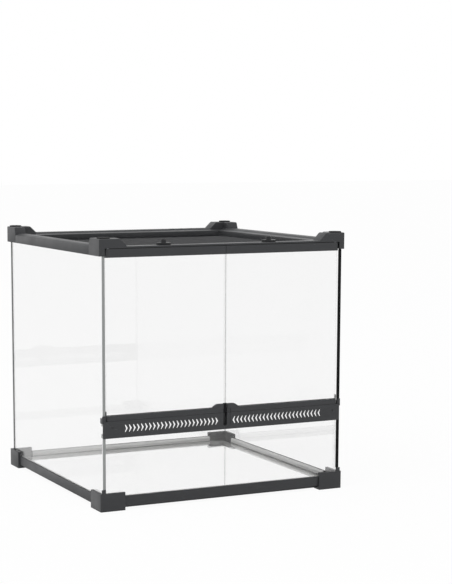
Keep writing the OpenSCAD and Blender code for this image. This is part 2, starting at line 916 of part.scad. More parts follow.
// Outline across the lid between two walls, span apart
module lid_outline(span) {
    far = span - lid_u;
    polygon([
        [lid_u, lid_low], [far, lid_low], [far, lid_top - lid_edge], [far - lid_edge, lid_top],
        [lid_u + lid_edge, lid_top], [lid_u, lid_top - lid_edge]
    ]);
}

// Outline across the lid's well, which widens towards its top
module well_outline(span) {
    brim_u = lid_u + 2 * lid_edge;
    polygon([
        [lid_inner_u, lid_low - past], [span - lid_inner_u, lid_low - past],
        [span - lid_inner_u, lid_top - lid_slope], [span - brim_u, lid_top],
        [span - brim_u, lid_top + past], [brim_u, lid_top + past], [brim_u, lid_top],
        [lid_inner_u, lid_top - lid_slope]
    ]);
}

module lid_frame() {
    slot_u = screen_u - screen_play;
    color(black) from_corner() difference() {
        intersection() {
            along_x(0, tank_w) lid_outline(tank_d);
            along_y(0, tank_d) lid_outline(tank_w);
        }
        intersection() {
            along_x(0, tank_w) well_outline(tank_d);
            along_y(0, tank_d) well_outline(tank_w);
        }
        translate([slot_u, slot_u, screen_z - screen_play])
            cube([tank_w - 2 * slot_u, tank_d - 2 * slot_u, screen_t + 2 * screen_play]);
    }
}

// Wire screen held in the lid's frame
module lid_screen() {
    w = tank_w - 2 * screen_u;
    d = tank_d - 2 * screen_u;
    border = screen_hold + 1;
    step_x = (w - 2 * border + screen_bar) / screen_count;
    step_y = (d - 2 * border + screen_bar) / screen_count;
    color("#4b4c4e") translate([-w / 2, -d / 2, screen_z]) linear_extrude(screen_t) difference() {
        square([w, d]);
        for (i = [0 : screen_count - 1])
            for (j = [0 : screen_count - 1])
                translate([border + i * step_x, border + j * step_y])
                    square([step_x - screen_bar, step_y - screen_bar]);
    }
}

// Turn knob on an upright screw: its flat faces the lid when it is released
module turn_knob(x) {
    wing = knob_wing_l - knob_wing_t;
    from_corner() translate([x, knob_v, 0]) difference() {
        union() {
            translate([0, 0, knob_z]) linear_extrude(knob_disc_t) intersection() {
                circle(d = knob_d);
                translate([-knob_d, -knob_d]) square([2 * knob_d, knob_d + knob_flat]);
            }
            translate([0, 0, knob_z]) cylinder(d = knob_hub_d, h = knob_top - knob_z);
            translate([0, 0, knob_z]) linear_extrude(knob_top - knob_z - knob_wing_drop) {
                square([knob_wing_t, wing], center = true);
                for (i = [-1, 1])
                    translate([0, i * wing / 2]) circle(d = knob_wing_t);
            }
        }
        translate([0, 0, knob_z - past])
            cylinder(d = screw_d + 2 * screw_play, h = knob_top - knob_z + 2 * past);
        translate([0, 0, screw_seat])
            cylinder(d = screw_head_d + 2 * screw_head_play, h = knob_top - screw_seat + past);
    }
}

module knob_left_turn() { color(dark) turn_knob(knob_left); }
module knob_right_turn() { color(dark) turn_knob(tank_w - knob_right); }

module knob_screw(x) {
    shank = screw_seat + screw_head_play - screw_low;
    from_corner() translate([x, knob_v, screw_low]) {
        cylinder(d = screw_d, h = shank);
        translate([0, 0, shank]) cylinder(d = screw_head_d, h = screw_head_t);
    }
}

module knob_screws() {
    color(steel) {
        knob_screw(knob_left);
        knob_screw(tank_w - knob_right);
    }
}

base_corner_front_left();
base_corner_front_right();
base_corner_rear_left();
base_corner_rear_right();
base_rail_front();
base_rail_rear();
base_rail_left();
base_rail_right();
floor_glass();
floor_seal();
left_glass();
right_glass();
rear_glass();
lower_front_glass();
vent_strip();
strip_clip_left();
strip_clip_right();
hinge_pins_lower();
hinge_pins_upper();
top_corner_front_left();
top_corner_front_right();
top_corner_rear_left();
top_corner_rear_right();
top_rail_front();
top_rail_rear();
top_rail_left();
top_rail_right();
stacking_pads();
catch_magnets();
door_glass_left();
door_header_left();
door_trim_left();
catch_plate_left();
door_glass_right();
door_header_right();
door_trim_right();
catch_plate_right();
lid_frame();
lid_screen();
knob_left_turn();
knob_right_turn();
knob_screws();
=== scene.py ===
"""Looks of a front-opening glass terrarium: moulded frame, float glass, wire screen and studio.

All sizes are in metres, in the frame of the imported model: the doors face -Y and +Z is up.
"""

import json
import math

import bmesh
import bpy
from bpy.props import (
    FloatProperty,
    FloatVectorProperty,
    IntProperty,
    PointerProperty,
    StringProperty,
)
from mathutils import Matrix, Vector


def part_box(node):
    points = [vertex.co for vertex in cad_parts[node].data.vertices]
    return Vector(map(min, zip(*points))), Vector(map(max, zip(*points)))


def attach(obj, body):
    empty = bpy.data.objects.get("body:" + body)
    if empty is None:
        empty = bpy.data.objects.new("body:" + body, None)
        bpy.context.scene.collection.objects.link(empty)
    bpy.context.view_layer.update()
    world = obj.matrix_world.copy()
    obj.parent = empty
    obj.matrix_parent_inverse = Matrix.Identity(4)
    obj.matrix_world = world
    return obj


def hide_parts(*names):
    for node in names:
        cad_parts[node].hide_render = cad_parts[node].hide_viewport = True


bl_info = {
    "name": "Glass Terrarium Looks",
    "version": (1, 0, 0),
    "blender": (4, 5, 0),
    "location": "View3D > Sidebar > Terrarium",
    "description": "Finishes the terrarium's frame, glass, screen and seals, and lights it",
    "category": "Object",
}

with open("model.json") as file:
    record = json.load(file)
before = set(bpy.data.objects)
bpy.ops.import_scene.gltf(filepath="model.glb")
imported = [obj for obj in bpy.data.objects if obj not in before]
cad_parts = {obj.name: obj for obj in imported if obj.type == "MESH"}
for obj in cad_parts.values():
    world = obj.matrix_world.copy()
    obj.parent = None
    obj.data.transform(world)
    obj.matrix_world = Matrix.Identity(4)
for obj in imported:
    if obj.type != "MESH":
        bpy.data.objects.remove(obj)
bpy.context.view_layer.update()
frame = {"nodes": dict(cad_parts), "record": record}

MM = 0.001

# The photograph's frame in pixels, and the width of the camera's sensor in millimetres
IMAGE_WIDTH = 452
IMAGE_HEIGHT = 584
SENSOR = 36.0

# Heights closer than this count as one level of a node
LEVEL_TOLERANCE = 0.1 * MM

# A CAD mesh is welded and cleared of flat edges, and then its sharp edges are rounded
WELD_DISTANCE = 0.002 * MM
FLAT_ANGLE = math.radians(0.5)
SHARP_ANGLE = math.radians(35)

# Faces are told apart by a part of their unit normal: a pane's broad faces across the sheet, its
# forward edges along -Y, and a pad's flat faces along Z
BROAD_NORMAL = 0.99
FORWARD_NORMAL = 0.5
FLAT_NORMAL = 0.9

# Chamfers of thin pieces, as shares of their thickness
SHEET_CHAMFER = 0.2
SHADE_STRIP_CHAMFER = 0.1

# Rounding of the sealing bead's tooled face
BEAD_ROUND = 0.8 * MM

# Studio, in metres: how far the camera sees, how far the floor reaches, and the overhead soft box
VIEW_REACH = 100.0
FLOOR_REACH = 20.0
LAMP_SIDE = 2.2
LAMP_PLACE = (-0.5, -0.6, 2.4)
LAMP_TILT = (math.radians(14), math.radians(-12), 0)

BODY_OF = {
    node: body
    for body, nodes in frame["record"]["behaviour"]["bodies"].items()
    for node in nodes
}
SLOT_OF = {part["node"]: part["material_slot"] for part in frame["record"]["subparts"]}

# A Mix node's sockets for colours: the share, the two colours and the mixed one
MIX_SHARE, MIX_FIRST, MIX_SECOND, MIX_RESULT = 0, 6, 7, 2

# Nodes by what they are made of, in the order in which the real tank is put together
BASE_NODES = [n for n in BODY_OF if n.startswith("base_")]
TOP_NODES = [n for n in BODY_OF if n.startswith(("top_corner", "top_rail"))]
DOOR_FRAME_NODES = [n for n in BODY_OF if n.startswith(("door_header", "door_trim"))]
STRIP_NODES = ["vent_strip", "strip_clip_left", "strip_clip_right"]
KNOB_NODES = ["knob_left_turn", "knob_right_turn"]
GLASS_NODES = [n for n in BODY_OF if SLOT_OF[n] == "clear_glass"]
STEEL_NODES = [n for n in BODY_OF if SLOT_OF[n] == "steel"]


def hex_to_linear(text):
    """An sRGB hex colour such as #2B2C2E as linear red, green, blue and an alpha of 1."""
    parts = [int(text[i : i + 2], 16) / 255 for i in (1, 3, 5)]
    linear = [p / 12.92 if p <= 0.04045 else ((p + 0.055) / 1.055) ** 2.4 for p in parts]
    return (*linear, 1.0)


class FinishSettings(bpy.types.PropertyGroup):
    """Colours and surfaces of the terrarium's materials."""

    plastic: StringProperty(
        name="Frame plastic", description="sRGB hex colour of the moulded frame", default="#38393B"
    )
    plastic_gloss: FloatProperty(
        name="Frame gloss", description="Specular level of the moulded plastics",
        default=0.28, min=0.0, max=1.0, subtype="FACTOR",
    )
    plastic_roughness: FloatProperty(
        name="Frame roughness", description="Roughness of the moulded frame",
        default=0.42, min=0.0, max=1.0, subtype="FACTOR",
    )
    # Painted shade: the lip between the door trims is darker and less glossy than the frame, so the
    # gap between them looks shaded
    painted_lip_shade: StringProperty(
        name="Lip plastic in painted shade", description="sRGB hex colour of the lip between the doors",
        default="#1C1C1E",
    )
    knob: StringProperty(
        name="Knob plastic", description="sRGB hex colour of the turn knobs", default="#1D1E20"
    )
    glass: StringProperty(
        name="Glass", description="sRGB hex tint of the clear glass", default="#FBFBFB"
    )
    # Painted light: the left glass's ground front edge is lighter than the other ground edges of
    # the same finish, as if lit
    edge: StringProperty(
        name="Ground edge", description="sRGB hex colour of the left glass's ground front edge",
        default="#9C9F9E",
    )
    # Painted shade: the walls' other ground edges are darker than the left glass's front edge, the
    # same finish in shade
    shaded_ground_edge: StringProperty(
        name="Dim edge", description="sRGB hex colour of the walls' other ground edges",
        default="#303332",
    )
    # Painted shade: the right glass's front edge and the strip wrapped over it are black
    black_shaded_edge: StringProperty(
        name="Dark edge",
        description="sRGB hex colour of the right glass's front edge and its tape",
        default="#0C0D0D",
    )
    bright_edge: StringProperty(
        name="Bright edge",
        description="sRGB hex colour of the polished edges of the doors, floor and lower front",
        default="#F6F7F6",
    )
    edge_clearness: FloatProperty(
        name="Edge clearness", description="Share of light that passes a polished edge",
        default=0.85, min=0.0, max=1.0, subtype="FACTOR",
    )
    silicone: StringProperty(
        name="Silicone", description="sRGB hex colour of the sealing bead", default="#F2F2F0"
    )
    wire: StringProperty(
        name="Screen wire", description="sRGB hex colour of the coated wire", default="#202124"
    )
    rubber: StringProperty(
        name="Pad rubber", description="sRGB hex colour of the stacking pads", default="#1A1A1B"
    )
    steel: StringProperty(
        name="Steel", description="sRGB hex colour of pins, screws and catches", default="#A9ABAE"
    )


class DetailSettings(bpy.types.PropertyGroup):
    """Real sizes of the details that are modelled here."""

    edge_round: FloatProperty(
        name="Moulded edge", description="Rounding of the frame's edges",
        default=0.5 * MM, min=0.1 * MM, max=1.5 * MM, subtype="DISTANCE", unit="LENGTH",
    )
    arris: FloatProperty(
        name="Arris", description="Chamfer ground on the glass edges",
        default=0.4 * MM, min=0.1 * MM, max=1.0 * MM, subtype="DISTANCE", unit="LENGTH",
    )
    # Common screen has 18 by 16 wires to the inch, a pitch of about 1.5 mm. It is drawn with a
    # wider pitch and thicker wires so that they show
    wire_pitch: FloatProperty(
        name="Wire pitch", description="Spacing of the screen's wires",
        default=2.5 * MM, min=1.2 * MM, max=6 * MM, subtype="DISTANCE", unit="LENGTH",
    )
    wire_width: FloatProperty(
        name="Wire thickness", description="Thickness of the screen's wires",
        default=0.5 * MM, min=0.2 * MM, max=1 * MM, subtype="DISTANCE", unit="LENGTH",
    )
    disc_thickness: FloatProperty(
        name="Disc thickness", description="Height of a knob's disc face over its underside",
        default=2.4 * MM, min=2.0 * MM, max=4.0 * MM, subtype="DISTANCE", unit="LENGTH",
    )
    disc_rise: FloatProperty(
        name="Disc rise", description="How much thicker a knob's disc is drawn",
        default=1.2 * MM, min=0.0, max=2.0 * MM, subtype="DISTANCE", unit="LENGTH",
    )
    pad_radius: FloatProperty(
        name="Pad radius", description="Radius of a stacking pad",
        default=10.6 * MM, min=5 * MM, max=11 * MM, subtype="DISTANCE", unit="LENGTH",
    )
    pad_sides: IntProperty(
        name="Pad sides", description="Sides of the round pads", default=48, min=16, max=96
    )
    lip_thickness: FloatProperty(
        name="Lip thickness", description="Thickness of the lip between the door trims",
        default=0.8 * MM, min=0.4 * MM, max=1.5 * MM, subtype="DISTANCE", unit="LENGTH",
    )
    lip_clear: FloatProperty(
        name="Lip clearance", description="Space around the lip between the door trims",
        default=0.3 * MM, min=0.1 * MM, max=1.0 * MM, subtype="DISTANCE", unit="LENGTH",
    )
    # The black strip on the right glass's front edge is painted shade
    shade_strip_wrap: FloatProperty(
        name="Shade strip wrap", description="How far the tape laps onto the faces of the right glass",
        default=1.5 * MM, min=0.5 * MM, max=4.0 * MM, subtype="DISTANCE", unit="LENGTH",
    )
    shade_strip_thickness: FloatProperty(
        name="Shade strip thickness", description="Thickness of the tape on the right glass's front edge",
        default=0.15 * MM, min=0.05 * MM, max=0.3 * MM, subtype="DISTANCE", unit="LENGTH",
    )
    bed_thickness: FloatProperty(
        name="Bed thickness",
        description="Thickness of the silicone squeezed out under the floor glass",
        default=0.8 * MM, min=0.4 * MM, max=2.0 * MM, subtype="DISTANCE", unit="LENGTH",
    )


class StageSettings(bpy.types.PropertyGroup):
    """Camera, floor and light."""

    camera_place: FloatVectorProperty(
        name="Camera place", description="Where the camera stands",
        default=(-1.19034, -2.56642, 0.58981), subtype="TRANSLATION", unit="LENGTH", size=3,
    )
    camera_azimuth: FloatProperty(
        name="Azimuth", description="Turn of the camera about the vertical",
        default=math.radians(-25.123), subtype="ANGLE", unit="ROTATION",
    )
    camera_tilt: FloatProperty(
        name="Tilt", description="How far the camera looks down",
        default=math.radians(8.042), subtype="ANGLE", unit="ROTATION",
    )
    focal_px: FloatProperty(
        name="Focal length", description="Focal length in pixels of the photograph",
        default=1603.54, min=100,
    )
    centre_px: FloatVectorProperty(
        name="Principal point",
        description="Where the camera's axis meets the photograph, in pixels",
        default=(176.5, 370.82), size=2,
    )
    floor: StringProperty(
        name="Floor", description="sRGB hex colour of the floor", default="#F8F8F8"
    )
    shadow_share: FloatProperty(
        name="Shadow", description="Share of the floor's own light and shadow that the camera sees",
        default=0.06, min=0.0, max=1.0, subtype="FACTOR",
    )
    world_strength: FloatProperty(
        name="Sky light", description="Strength of the studio light", default=0.75, min=0.0, max=2.0
    )
    world_lean: FloatProperty(
        name="Sky lean",
        description="How much brighter the studio is on the left, and darker on the right",
        default=0.6, min=0.0, max=1.0, subtype="FACTOR",
    )
    lamp_power: FloatProperty(
        name="Lamp", description="Power of the overhead soft box",
        default=14.0, min=0.0, unit="POWER",
    )


def add_node(tree, kind, settings=None, links=None):
    """Adds a shader node, sets its properties and input values, and links its inputs."""
    node = tree.nodes.new(kind)
    for key, value in (settings or {}).items():
        if isinstance(key, str) and hasattr(node, key):
            setattr(node, key, value)
        else:
            node.inputs[key].default_value = value
    for key, output in (links or {}).items():
        tree.links.new(output, node.inputs[key])
    return node


def new_material(name):
    """An empty node material with its output and the object's own coordinates."""
    material = bpy.data.materials.new(name)
    material.use_nodes = True
    tree = material.node_tree
    tree.nodes.clear()
    output = add_node(tree, "ShaderNodeOutputMaterial")
    place = add_node(tree, "ShaderNodeTexCoord").outputs["Object"]
    return material, tree, output, place


def per_metre(size_mm):
    """Texture scale at which one cell of a pattern is size_mm wide."""
    return 1000.0 / size_mm


def tones(hex_colour, spread):
    """A darker and a lighter tone of a colour, each apart from it by the same share."""
    base = hex_to_linear(hex_colour)[:3]
    return [
        (*(min(1.0, factor * part) for part in base), 1.0) for factor in (1 - spread, 1 + spread)
    ]


def moulded_plastic(name, hex_colour, roughness, specular):
    """Injection-moulded ABS with a fine spark-eroded texture.

    The texture scatters light a little, so faces look satin and edges catch a soft line.
    """
    material, tree, output, place = new_material(name)
    # Spark texture has a 0.3 mm grain, drawn at 0.9 mm so that it shows
    grain = add_node(
        tree, "ShaderNodeTexNoise", {"Scale": per_metre(0.9), "Detail": 2.0, "Roughness": 0.6},
        {"Vector": place},
    )
    # Flow of the melt leaves wide, faint differences in gloss
    flow = add_node(
        tree, "ShaderNodeTexNoise", {"Scale": per_metre(35.0), "Detail": 3.0}, {"Vector": place}
    )
    rough = add_node(
        tree, "ShaderNodeMapRange",
        {"From Min": 0.3, "From Max": 0.7, "To Min": roughness - 0.05, "To Max": roughness + 0.06},
        {"Value": flow.outputs["Fac"]},
    )
    darker, lighter = tones(hex_colour, spread=0.1)
    shade = add_node(
        tree, "ShaderNodeMix", {"data_type": "RGBA", MIX_FIRST: darker, MIX_SECOND: lighter},
        {MIX_SHARE: flow.outputs["Fac"]},
    )
    bump = add_node(
        tree, "ShaderNodeBump", {"Strength": 0.12, "Distance": 0.1 * MM},
        {"Height": grain.outputs["Fac"]},
    )
    shader = add_node(
        tree, "ShaderNodeBsdfPrincipled", {"IOR": 1.54, "Specular IOR Level": specular},
        {
            "Base Color": shade.outputs[MIX_RESULT], "Roughness": rough.outputs[0],
            "Normal": bump.outputs[0],
        },
    )
    tree.links.new(shader.outputs[0], output.inputs["Surface"])
    return material


def float_glass(name, hex_colour):
    """Soda-lime float glass, fire-polished on both faces: clear, with faint, sharp reflections."""
    material, tree, output, place = new_material(name)
    # Float glass is flat to a hair, so only the widest waves bend what is seen in it
    wave = add_node(
        tree, "ShaderNodeTexNoise", {"Scale": per_metre(160.0), "Detail": 1.0}, {"Vector": place}
    )
    bump = add_node(
        tree, "ShaderNodeBump", {"Strength": 0.02, "Distance": 0.2 * MM},
        {"Height": wave.outputs["Fac"]},
    )
    shader = add_node(
        tree, "ShaderNodeBsdfPrincipled",
        {
            "Base Color": hex_to_linear(hex_colour), "Roughness": 0.0, "IOR": 1.52,
            "Transmission Weight": 1.0,
        },
        {"Normal": bump.outputs[0]},
    )
    tree.links.new(shader.outputs[0], output.inputs["Surface"])
    return material


def ground_edge(name, hex_colour, specular):
    """Belt-ground glass edge: the grit leaves a grey, silky face that lets light through dimly."""
    material, tree, output, place = new_material(name)
    # A 220 grit belt leaves scratches about 0.07 mm apart, drawn at 0.6 mm so that they show
    stretch = add_node(
        tree, "ShaderNodeMapping", {"Scale": (per_metre(0.6), per_metre(0.6), per_metre(9.0))},
        {"Vector": place},
    )
    grit = add_node(
        tree, "ShaderNodeTexNoise", {"Scale": 1.0, "Detail": 2.0}, {"Vector": stretch.outputs[0]}
    )
    darker, lighter = tones(hex_colour, spread=0.12)
    shade = add_node(
        tree, "ShaderNodeMix", {"data_type": "RGBA", MIX_FIRST: darker, MIX_SECOND: lighter},
        {MIX_SHARE: grit.outputs["Fac"]},
    )
    shader = add_node(
        tree, "ShaderNodeBsdfPrincipled",
        {
            "Roughness": 0.45, "IOR": 1.52, "Specular IOR Level": specular,
            "Transmission Weight": 0.15,
        },
        {"Base Color": shade.outputs[MIX_RESULT]},
    )
    tree.links.new(shader.outputs[0], output.inputs["Surface"])
    return material


def polished_edge(name, hex_colour, clear_share):
    """Polished glass edge: nearly as clear as the faces, so it leaves only a thin pale line."""
    material, tree, output, place = new_material(name)
    # The felt wheel leaves waves about 4 mm long, which show as a change of tone
    wave = add_node(
        tree, "ShaderNodeTexNoise", {"Scale": per_metre(4.0), "Detail": 1.0}, {"Vector": place}
    )
    rough = add_node(
        tree, "ShaderNodeMapRange", {"To Min": 0.2, "To Max": 0.4}, {"Value": wave.outputs["Fac"]}
    )
    pale = add_node(
        tree, "ShaderNodeBsdfPrincipled", {"Base Color": hex_to_linear(hex_colour), "IOR": 1.52},
        {"Roughness": rough.outputs[0]},
    )
    clear = add_node(tree, "ShaderNodeBsdfTransparent")
    mix = add_node(
        tree, "ShaderNodeMixShader", {0: clear_share}, {1: pale.outputs[0], 2: clear.outputs[0]}
    )
    tree.links.new(mix.outputs[0], output.inputs["Surface"])
    return material


def translucent_silicone(name, hex_colour):
    """Cured acetoxy silicone, tooled by hand: milky, with a soft wet gloss."""
    material, tree, output, place = new_material(name)
    # Tooling leaves ripples about 14 mm long
    ripple = add_node(
        tree, "ShaderNodeTexNoise", {"Scale": per_metre(14.0), "Detail": 1.0}, {"Vector": place}
    )
    bump = add_node(
        tree, "ShaderNodeBump", {"Strength": 0.25, "Distance": 0.5 * MM},
        {"Height": ripple.outputs["Fac"]},
    )
    shader = add_node(
        tree, "ShaderNodeBsdfPrincipled",
        {
            "Base Color": hex_to_linear(hex_colour), "Roughness": 0.3, "IOR": 1.41,
            "Subsurface Weight": 0.3, "Subsurface Radius": (1.0, 1.0, 1.0),
            "Subsurface Scale": 1.5 * MM,
        },
        {"Normal": bump.outputs[0]},
    )
    tree.links.new(shader.outputs[0], output.inputs["Surface"])
    return material


def coated_wire(name, hex_colour):
    """Steel wire with an epoxy coat: dark grey, a little glossy, thicker where it pooled."""
    material, tree, output, place = new_material(name)
    # The coat pools in patches about 3 mm long
    pool = add_node(
        tree, "ShaderNodeTexNoise", {"Scale": per_metre(3.0), "Detail": 1.0}, {"Vector": place}
    )
    darker, lighter = tones(hex_colour, spread=0.2)
    shade = add_node(
        tree, "ShaderNodeMix", {"data_type": "RGBA", MIX_FIRST: darker, MIX_SECOND: lighter},
        {MIX_SHARE: pool.outputs["Fac"]},
    )
    shader = add_node(
        tree, "ShaderNodeBsdfPrincipled", {"Roughness": 0.5, "IOR": 1.5, "Specular IOR Level": 0.3},
        {"Base Color": shade.outputs[MIX_RESULT]},
    )
    tree.links.new(shader.outputs[0], output.inputs["Surface"])
    return material


def moulded_rubber(name, hex_colour):
    """Pressed rubber: black and nearly without gloss, with a fine bloom of dust."""
    material, tree, output, place = new_material(name)
    # Bloom and dust lie in patches about 2 mm wide
    bloom = add_node(
        tree, "ShaderNodeTexNoise", {"Scale": per_metre(2.0), "Detail": 4.0}, {"Vector": place}
    )
    rough = add_node(
        tree, "ShaderNodeMapRange", {"To Min": 0.7, "To Max": 0.95}, {"Value": bloom.outputs["Fac"]}
    )
    shader = add_node(
        tree, "ShaderNodeBsdfPrincipled", {"Base Color": hex_to_linear(hex_colour), "IOR": 1.5},
        {"Roughness": rough.outputs[0]},
    )
    tree.links.new(shader.outputs[0], output.inputs["Surface"])
    return material


def plated_steel(name, hex_colour):
    """Zinc-plated steel: bright grey, with drawing marks along its length."""
    material, tree, output, place = new_material(name)
    # Drawing marks are finer than 0.1 mm, drawn at 0.5 mm so that they show
    stretch = add_node(
        tree, "ShaderNodeMapping", {"Scale": (per_metre(0.5), per_metre(0.5), per_metre(6.0))},
        {"Vector": place},
    )
    marks = add_node(
        tree, "ShaderNodeTexNoise", {"Scale": 1.0, "Detail": 2.0}, {"Vector": stretch.outputs[0]}
    )
    rough = add_node(
        tree, "ShaderNodeMapRange", {"To Min": 0.22, "To Max": 0.42},
        {"Value": marks.outputs["Fac"]},
    )
    shader = add_node(
        tree, "ShaderNodeBsdfPrincipled",
        {"Base Color": hex_to_linear(hex_colour), "Metallic": 1.0},
        {"Roughness": rough.outputs[0]},
    )
    tree.links.new(shader.outputs[0], output.inputs["Surface"])
    return material


def piece_from(bm, name, node, materials):
    """Turns a finished bmesh into a piece that stands for a CAD node, on the node's body."""
    mesh = bpy.data.meshes.new(name)
    bm.to_mesh(mesh)
    bm.free()
    piece = bpy.data.objects.new(name, mesh)
    bpy.context.scene.collection.objects.link(piece)
    for material in materials:
        mesh.materials.append(material)
    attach(piece, BODY_OF[node])
    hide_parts(node)
    return piece


def soften(node, material, width):
    """A copy of a moulded CAD node whose sharp edges are rounded as a mould leaves them."""
    bm = bmesh.new()
    bm.from_mesh(frame["nodes"][node].data)
    bmesh.ops.remove_doubles(bm, verts=bm.verts, dist=WELD_DISTANCE)
    bmesh.ops.dissolve_limit(
        bm, angle_limit=FLAT_ANGLE, verts=bm.verts, edges=bm.edges, use_dissolve_boundaries=False
    )
    piece = piece_from(bm, node + "_moulding", node, [material])
    for polygon in piece.data.polygons:
        polygon.use_smooth = True
        polygon.material_index = 0
    bevel = piece.modifiers.new("mould radius", "BEVEL")
    bevel.width = width
    bevel.segments = 2
    bevel.limit_method = "ANGLE"
    bevel.angle_limit = SHARP_ANGLE
    bevel.harden_normals = True
    bevel.use_clamp_overlap = True
    return piece


def thicken_disc(knob, top, rise):
    """Raises the rim and face of a knob's disc, whose upper face lies at the height top."""
    for vertex in knob.data.vertices:
        if abs(vertex.co.z - top) < LEVEL_TOLERANCE:
            vertex.co.z += rise


def repaint(node, material):
    """Gives a CAD node that keeps its shape a new material."""
    for slot in frame["nodes"][node].material_slots:
        slot.material = material


def add_block(bm, low, high, chamfer):
    """A four-sided bar or sheet between two corners, with a chamfer all round."""
    # A cube of size 1 reaches from -0.5 to 0.5
    cube = bmesh.ops.create_cube(bm, size=1.0)["verts"]
    for vertex in cube:
        vertex.co = Vector(low[i] + (vertex.co[i] + 0.5) * (high - low)[i] for i in range(3))
    edges = list({edge for vertex in cube for edge in vertex.link_edges})
    bmesh.ops.bevel(bm, geom=edges, offset=chamfer, segments=1, affect="EDGES", profile=0.5)


def pane(node, glass, edge, front_edge, arris):
    """A sheet of glass with an arris all round, in the place of its CAD node.

    The two large faces are clear; the narrow ones and the chamfers have the edges' finish, and
    those that face forwards may have one of their own. On the walls, these colours are painted
    light and shade.
    """
    low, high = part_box(node)
    size = high - low
    thin = min(range(3), key=lambda axis: size[axis])
    bm = bmesh.new()
    add_block(bm, low, high, arris)
    bm.normal_update()
    for face in bm.faces:
        broad = abs(face.normal[thin]) > BROAD_NORMAL
        forward = face.normal.y < -FORWARD_NORMAL
        face.material_index = 0 if broad else 2 if forward else 1
    return piece_from(bm, node + "_pane", node, [glass, edge, front_edge])


def closing_lip(trim, glass, material, thickness, clear):
    """A thin upright lip on the left trim that backs the finger's place between the two trims; the
    lip is a part of its own, and its matt black colour is painted shade in the gap.
    """
    low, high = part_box(trim)
    glass_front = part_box(glass)[0].y
    start = Vector((high.x, glass_front - clear - thickness, low.z))
    end = Vector((-high.x - clear, glass_front - clear, high.z))
    bm = bmesh.new()
    add_block(bm, start, end, SHEET_CHAMFER * thickness)
    return piece_from(bm, "closing_lip", trim, [material])


def black_shade_strip(node, material, wrap, thickness):
    """A black strip wrapped round the right glass's front edge, between the corner blocks: painted
    shade on that edge.
    """
    low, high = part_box(node)
    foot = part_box("base_corner_front_right")[1].z
    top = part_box("top_corner_front_right")[0].z
    front = low.y - thickness
    bm = bmesh.new()
    for start, end in (
        ((low.x - thickness, front), (high.x + thickness, low.y)),
        ((low.x - thickness, low.y), (low.x, low.y + wrap)),
        ((high.x, low.y), (high.x + thickness, low.y + wrap)),
    ):
        add_block(bm, Vector((*start, foot)), Vector((*end, top)), SHADE_STRIP_CHAMFER * thickness)
    return piece_from(bm, "black_shade_strip", node, [material])


def sealing_bead(node, material):
    """The bead along the floor glass, its tooled face softened and its foot sharp on the glass."""
    bead = soften(node, material, BEAD_ROUND)
    bead.name = "sealing_bead"
    bead.modifiers["mould radius"].limit_method = "WEIGHT"
    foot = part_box(node)[0].z + LEVEL_TOLERANCE
    weights = bead.data.attributes.new("bevel_weight_edge", "FLOAT", "EDGE")
    for edge in bead.data.edges:
        raised = all(bead.data.vertices[index].co.z > foot for index in edge.vertices)
        weights.data[edge.index].value = 1.0 if raised else 0.0
        edge.use_edge_sharp = not raised
    return bead


def glazing_bed(material, thickness):
    """Silicone under the floor glass, squeezed out over the inner faces of the ledge below it."""
    floor_low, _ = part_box("floor_glass")
    rail_low, rail_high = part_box("base_rail_front")
    side_low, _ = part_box("base_rail_right")
    block_low, block_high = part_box("base_corner_front_left")
    far = Vector((side_low.x, -rail_high.y, floor_low.z))
    reach = Vector((-block_high.x, -block_high.y, 0.0))
    # The silicone ends this far above the underside of the plastic
    bare = 2 * thickness
    bm = bmesh.new()
    for across in (0, 1):
        along = 1 - across
        for side in (-1, 1):
            for start, end, foot in (
                (-far[along], -reach[along], block_low.z),
                (-reach[along], reach[along], rail_low.z),
                (reach[along], far[along], block_low.z),
            ):
                low = Vector((0.0, 0.0, foot + bare))
                high = Vector((0.0, 0.0, floor_low.z))
                low[along] = start
                high[along] = end
                low[across] = min(side * far[across], side * (far[across] - thickness))
                high[across] = low[across] + thickness
                add_block(bm, low, high, SHEET_CHAMFER * thickness)
    return piece_from(bm, "glazing_bed", "floor_seal", [material])


def add_bar(bm, low, high):
    """A four-sided wire turned on its edge, along whichever of x and y it is longer in."""
    size = high - low
    along = 0 if size.x > size.y else 1
    across = 1 - along
    middle = (low + high) / 2
    rings = []
    for end in (low[along], high[along]):
        ring = []
        for turn in range(4):
            angle = turn * math.pi / 2
            point = middle.copy()
            point[along] = end
            point[across] += math.cos(angle) * size[across] / 2
            point.z += math.sin(angle) * size.z / 2
            ring.append(bm.verts.new(point))
        rings.append(ring)
    for turn in range(4):
        after = (turn + 1) % 4
        bm.faces.new((rings[0][turn], rings[0][after], rings[1][after], rings[1][turn]))
    bm.faces.new(reversed(rings[0]))
    bm.faces.new(rings[1])


def wire_screen(node, material, pitch, thickness):
    """Two layers of crossed wires in the place of the plain screen plate."""
    low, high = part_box(node)
    middle_z = (low.z + high.z) / 2
    # The layers lie closer than one wire, as woven wires do
    layer_gap = 0.7 * thickness
    bm = bmesh.new()
    for along in (0, 1):
        across = 1 - along
        count = int((high[across] - low[across] - thickness) / pitch)
        start = (low[across] + high[across] - count * pitch) / 2
        layer = middle_z + (along - 0.5) * layer_gap
        for index in range(count + 1):
            near = low.copy()
            far = high.copy()
            near[across] = start + index * pitch - thickness / 2
            far[across] = near[across] + thickness
            near.z = layer - thickness / 2
            far.z = layer + thickness / 2
            add_bar(bm, near, far)
    bmesh.ops.recalc_face_normals(bm, faces=bm.faces)
    return piece_from(bm, "screen_wires", node, [material])


def revolve(bm, centre, outline, sides):
    """A closed form turned about the vertical through centre.

    The outline is a list of (radius, height) that starts in the middle of the top.
    """
    rings = []
    for radius, height in outline:
        ring = []
        for step in range(sides):
            angle = 2 * math.pi * step / sides
            offset = Vector((math.cos(angle) * radius, math.sin(angle) * radius, height))
            ring.append(bm.verts.new(centre + offset))
        rings.append(ring)
    for upper, lower in zip(rings, rings[1:]):
        for step in range(sides):
            after = (step + 1) % sides
            bm.faces.new((upper[step], lower[step], lower[after], upper[after]))
    bm.faces.new(rings[0])
    bm.faces.new(reversed(rings[-1]))


